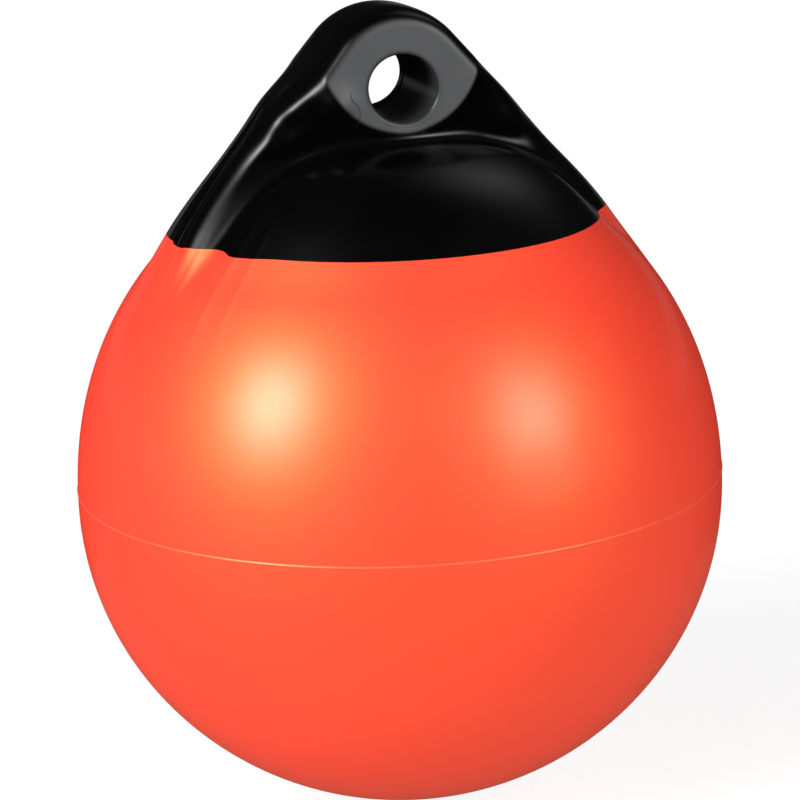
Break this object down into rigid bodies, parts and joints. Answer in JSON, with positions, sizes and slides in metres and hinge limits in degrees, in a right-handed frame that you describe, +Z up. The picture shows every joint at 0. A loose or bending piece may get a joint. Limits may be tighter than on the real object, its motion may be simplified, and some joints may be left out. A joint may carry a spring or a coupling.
{
  "type": "inflatable mooring buoy ball",
  "caption": "Inflated teardrop mooring buoy of orange vinyl with a black solid rope head and eye, and a needle valve behind; ties to a mooring rope.",
  "frame": {"origin": "on the ball's axis, level with its lowest point", "axes": "+Z up along the axis from the ball's base to the rope eye; the eye runs along Y, its flat cheeks face -Y and +Y; the lug's narrow edges face -X and +X; the valve is on the +Y side"},
  "size_m": [0.3806, 0.3806, 0.4706],
  "materials": {
    "float_ball": "glossy orange-red vinyl",
    "rope_head": "glossy black vinyl",
    "inflation_valve": "matt black rubber"
  },
  "bodies": {
    "root": {"float_ball": "float_ball", "rope_head": "rope_head", "inflation_valve": "inflation_valve"}
  },
  "joints": []
}
